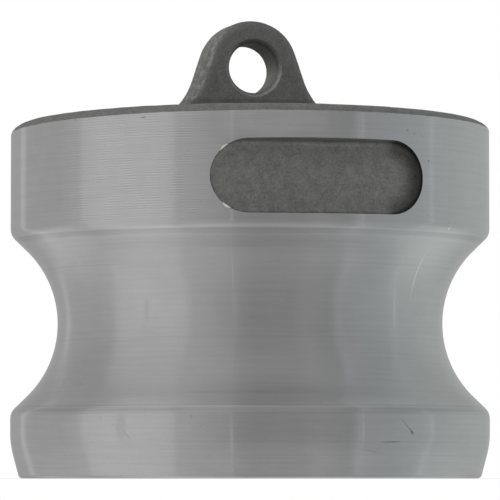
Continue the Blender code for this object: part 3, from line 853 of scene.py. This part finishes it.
def makeTurnedAluminium():
    # Aluminium, turned on a lathe: its rings drag every reflection up and down and keep it crisp
    # from side to side
    finish = turnedFinish
    reach = turnedPart["diameter"] / 2 * mm
    material, tree, output = newMaterial("turnedAluminium")
    position = addNode(tree, "ShaderNodeTexCoord").outputs["Object"]
    axes = addNode(tree, "ShaderNodeSeparateXYZ", {0: position})
    height = axes.outputs["Z"]
    towards = addNode(tree, "ShaderNodeMath", {0: axes.outputs["Y"], 1: -1.0},
                      operation="MULTIPLY")
    turn = addNode(tree, "ShaderNodeMath", {0: axes.outputs["X"], 1: towards},
                   operation="ARCTAN2")
    around = addNode(tree, "ShaderNodeMath", {0: turn, 1: reach}, operation="MULTIPLY")
    unrolled = addNode(tree, "ShaderNodeCombineXYZ", {"X": around, "Y": height})
    # along runs up the outline, into the groove and out again
    flat = addNode(tree, "ShaderNodeCombineXYZ", {"X": axes.outputs["X"], "Y": axes.outputs["Y"]})
    radius = addNode(tree, "ShaderNodeVectorMath", {0: flat}, operation="LENGTH").outputs["Value"]
    deep = addNode(tree, "ShaderNodeMath", {0: radius, 1: turnedPart["grooveRoot"] / 2 * mm},
                   operation="SUBTRACT")
    upper = addNode(tree, "ShaderNodeMath", {0: height, 1: turnedPart["grooveHeight"] * mm},
                    operation="SUBTRACT")
    upper = addNode(tree, "ShaderNodeMath", {0: upper}, operation="SIGN")
    along = addNode(tree, "ShaderNodeMath", {0: upper, 1: deep, 2: height},
                    operation="MULTIPLY_ADD")

    slope = 0.0
    for spacing, steepness, detail, roughness in finish["feeds"]:
        rings = addNode(tree, "ShaderNodeTexNoise", {
            "W": along, "Scale": 1 / (spacing * mm), "Detail": detail, "Roughness": roughness},
            noise_dimensions="1D")
        rings = addNode(tree, "ShaderNodeMath", {0: rings, 1: 0.5}, operation="SUBTRACT")
        slope = addNode(tree, "ShaderNodeMath", {0: rings, 1: steepness, 2: slope},
                        operation="MULTIPLY_ADD")
    facing = addNode(tree, "ShaderNodeNewGeometry").outputs["Normal"]
    tip = addNode(tree, "ShaderNodeCombineXYZ", {"Z": slope})
    ringed = addNode(tree, "ShaderNodeVectorMath", {0: facing, 1: tip}, operation="ADD")
    ringed = addNode(tree, "ShaderNodeVectorMath", {0: ringed}, operation="NORMALIZE")

    # painted highlights: light and dark bands where the ridges catch the light
    wave = addNode(tree, "ShaderNodeMath", {0: along, 1: 2 * pi / (finish["ridge"] * mm)},
                   operation="MULTIPLY")
    wave = addNode(tree, "ShaderNodeMath", {0: wave}, operation="SINE")
    patch = addNode(tree, "ShaderNodeTexNoise", {
        "Vector": unrolled, "Scale": 1 / (finish["patch"] * mm), "Detail": 1.0},
        noise_dimensions="2D")
    patch = addNode(tree, "ShaderNodeMapRange", {
        "Value": patch, "From Min": finish["patchFrom"], "From Max": finish["patchTo"],
        "To Min": finish["patchLow"], "To Max": 1.0})
    onHead = addNode(tree, "ShaderNodeMapRange", {
        "Value": height, "From Min": (finish["ridgeFrom"] - finish["ridgeFade"]) * mm,
        "From Max": finish["ridgeFrom"] * mm, "To Min": finish["ridgeBelow"], "To Max": 1.0})
    first, last = finish["ridgeTurns"]
    aside = addNode(tree, "ShaderNodeMath", {0: turn, 1: radians((first + last) / 2)},
                    operation="SUBTRACT")
    aside = addNode(tree, "ShaderNodeMath", {0: aside}, operation="ABSOLUTE")
    half = (last - first) / 2
    within = addNode(tree, "ShaderNodeMapRange", {
        "Value": aside, "From Min": radians(half),
        "From Max": radians(half + finish["ridgeTurnFade"]),
        "To Min": 1.0, "To Max": finish["ridgeAside"]})
    ridges = finish["ridgeShade"]
    for share in (wave, patch, onHead, within):
        ridges = addNode(tree, "ShaderNodeMath", {0: ridges, 1: share}, operation="MULTIPLY")
    shade = addNode(tree, "ShaderNodeMath", {0: ridges, 1: 1.0}, operation="ADD")

    cloud = addNode(tree, "ShaderNodeTexNoise", {
        "Vector": position, "Scale": 1 / (finish["cloud"] * mm), "Detail": 5.0,
        "Roughness": 0.7})
    pits = addNode(tree, "ShaderNodeTexNoise", {
        "Vector": position, "Scale": 1 / (finish["pit"] * mm), "Detail": 1.0})
    shares = [
        addNode(tree, "ShaderNodeMapRange", {
            "Value": cloud, "From Min": finish["cloudFrom"], "From Max": finish["cloudTo"],
            "To Min": 1 - finish["cloudShade"], "To Max": 1.0}),
        addNode(tree, "ShaderNodeMapRange", {
            "Value": pits, "From Min": finish["pitFrom"], "From Max": finish["pitTo"],
            "To Min": 1.0, "To Max": 1 - finish["pitShade"]})]
    full, gone = finish["lineFade"]
    # painted shade in the tool's steps, and a painted dark reflection at the nose's foot
    for level, halfWidth, depth in finish["lines"]:
        off = addNode(tree, "ShaderNodeMath", {0: height, 1: level * mm}, operation="SUBTRACT")
        off = addNode(tree, "ShaderNodeMath", {0: off}, operation="ABSOLUTE")
        shares.append(addNode(tree, "ShaderNodeMapRange", {
            "Value": off, "From Min": full * halfWidth * mm, "From Max": gone * halfWidth * mm,
            "To Min": 1 - depth, "To Max": 1.0}))
    # dents, scratches and stains darken; painted highlights, reflections and light patches lighten
    full, gone = finish["markFade"]
    for markTurn, level, halfLength, halfWidth, slant, depth in finish["marksAndHighlights"]:
        local = addNode(tree, "ShaderNodeMapping", {
            "Vector": unrolled, "Location": (radians(markTurn) * reach, level * mm, 0),
            "Rotation": (0, 0, radians(slant)), "Scale": (halfLength * mm, halfWidth * mm, 1)},
            vector_type="TEXTURE")
        off = addNode(tree, "ShaderNodeVectorMath", {0: local}, operation="LENGTH")
        shares.append(addNode(tree, "ShaderNodeMapRange", {
            "Value": off.outputs["Value"], "From Min": full, "From Max": gone,
            "To Min": 1 - depth, "To Max": 1.0}))
    for share in shares:
        shade = addNode(tree, "ShaderNodeMath", {0: shade, 1: share}, operation="MULTIPLY")

    # streaks drawn out along the rings
    streakX = addNode(tree, "ShaderNodeMath", {0: turn, 1: finish["streakTurn"]},
                      operation="MULTIPLY")
    streakY = addNode(tree, "ShaderNodeMath", {0: along, 1: 1 / (finish["streak"] * mm)},
                      operation="MULTIPLY")
    drawnOut = addNode(tree, "ShaderNodeCombineXYZ", {"X": streakX, "Y": streakY})
    streaks = addNode(tree, "ShaderNodeTexNoise", {
        "Vector": drawnOut, "Scale": 1.0, "Detail": 4.0, "Roughness": 0.65},
        noise_dimensions="2D")
    tone = addNode(tree, "ShaderNodeMapRange", {
        "Value": streaks, "From Min": finish["streakFrom"], "From Max": finish["streakTo"]})
    colour = addNode(tree, "ShaderNodeMix", {
        "Factor": tone, "A": hexColour(finish["dark"]), "B": hexColour(finish["light"])},
        data_type="RGBA").outputs["Result"]
    colour = addNode(tree, "ShaderNodeVectorMath", {0: colour, "Scale": shade},
                     operation="SCALE")
    # the groove is turned with a rounder tool and comes out satin
    middle = (finish["satinFrom"] + finish["satinTo"]) / 2
    half = (finish["satinTo"] - finish["satinFrom"]) / 2
    off = addNode(tree, "ShaderNodeMath", {0: height, 1: middle * mm}, operation="SUBTRACT")
    off = addNode(tree, "ShaderNodeMath", {0: off}, operation="ABSOLUTE")
    satin = addNode(tree, "ShaderNodeMapRange", {
        "Value": off, "From Min": (half - finish["satinFade"]) * mm, "From Max": half * mm,
        "To Min": finish["satin"], "To Max": 0.0})
    rough = addNode(tree, "ShaderNodeMapRange", {
        "Value": streaks, "From Min": finish["streakFrom"], "From Max": finish["streakTo"],
        "To Min": finish["roughFrom"], "To Max": finish["roughTo"]})
    rough = addNode(tree, "ShaderNodeMath", {0: rough, 1: satin}, operation="ADD")
    tangent = addNode(tree, "ShaderNodeTangent", direction_type="RADIAL", axis="Z")
    metal = addNode(tree, "ShaderNodeBsdfPrincipled", {
        "Base Color": colour, "Metallic": 1.0, "Roughness": rough, "Anisotropic": 1.0,
        "Anisotropic Rotation": 0.25, "Tangent": tangent, "Normal": ringed})
    tree.links.new(metal.outputs[0], output.inputs["Surface"])
    return material


# Finish of the cast metal, in millimetres: blotches of the mould's dressing, and specks the size
# of a grain of sand. Each surface has its tones, how deep its grain shows and what paints light
# and shade into it.
castFinish = {
    "mottle": 1.1, "mottleShare": 0.4, "speck": 0.25, "speckShare": 0.6,
    "mixFrom": 0.38, "mixTo": 0.62, "roughness": 0.62, "bump": 0.05,
    "surfaces": {
        "cast": ("castAluminium", "#9d9d9b", "#b9b9b6", 0.6, None),
        "lug": ("castAluminiumLug", "#969694", "#b2b2af", 0.6, lugPaintedLight),
        "eye": ("castAluminiumEye", "#969694", "#b2b2af", 0.6, eyePaintedLight),
        "recess": ("castAluminiumRecess", "#a2a2a0", "#c9c8c5", 0.7, recessPaintedShade),
    },
}


def makeCastAluminium(name, dark, light, grain, paintedLightOf):
    # Aluminium, cast in a mould and left as it came out: dull, fine-grained and mottled
    finish = castFinish
    material, tree, output = newMaterial(name)
    position = addNode(tree, "ShaderNodeTexCoord").outputs["Object"]
    mottle = addNode(tree, "ShaderNodeTexNoise", {
        "Vector": position, "Scale": 1 / (finish["mottle"] * mm), "Detail": 5.0,
        "Roughness": 0.6})
    speck = addNode(tree, "ShaderNodeTexNoise", {
        "Vector": position, "Scale": 1 / (finish["speck"] * mm), "Detail": 3.0,
        "Roughness": 0.7})
    mixed = 0.0
    for pattern, share in ((mottle, finish["mottleShare"]), (speck, finish["speckShare"])):
        mixed = addNode(tree, "ShaderNodeMath", {0: pattern, 1: share, 2: mixed},
                        operation="MULTIPLY_ADD")
    mixed = addNode(tree, "ShaderNodeMapRange", {
        "Value": mixed, "From Min": finish["mixFrom"], "From Max": finish["mixTo"]})
    colour = addNode(tree, "ShaderNodeMix", {
        "Factor": mixed, "A": hexColour(dark), "B": hexColour(light)},
        data_type="RGBA").outputs["Result"]
    # painted light and shade of the surface, where it has some
    if paintedLightOf:
        colour = addNode(tree, "ShaderNodeVectorMath", {
            0: colour, "Scale": paintedLightOf(tree, position)}, operation="SCALE")
    bump = addNode(tree, "ShaderNodeBump", {
        "Strength": grain, "Distance": finish["bump"] * mm, "Height": speck})
    metal = addNode(tree, "ShaderNodeBsdfPrincipled", {
        "Base Color": colour, "Metallic": 1.0, "Roughness": finish["roughness"],
        "Normal": bump})
    tree.links.new(metal.outputs[0], output.inputs["Surface"])
    return material


for old in set(bpy.data.objects) - set(frame["nodes"].values()) - set(frame["bodies"].values()):
    bpy.data.objects.remove(old)  # whatever the empty scene came with
makeCamera()
makeSky()
makeFloor()
makeTent()
print("studio made")
metals = {name: makeCastAluminium(*look) for name, look in castFinish["surfaces"].items()}
metals["turned"] = makeTurnedAluminium()
metals["torn"] = makeTornAluminium()
print("metals made:", ", ".join(metals))
makePlug(metals)
print("plug made")
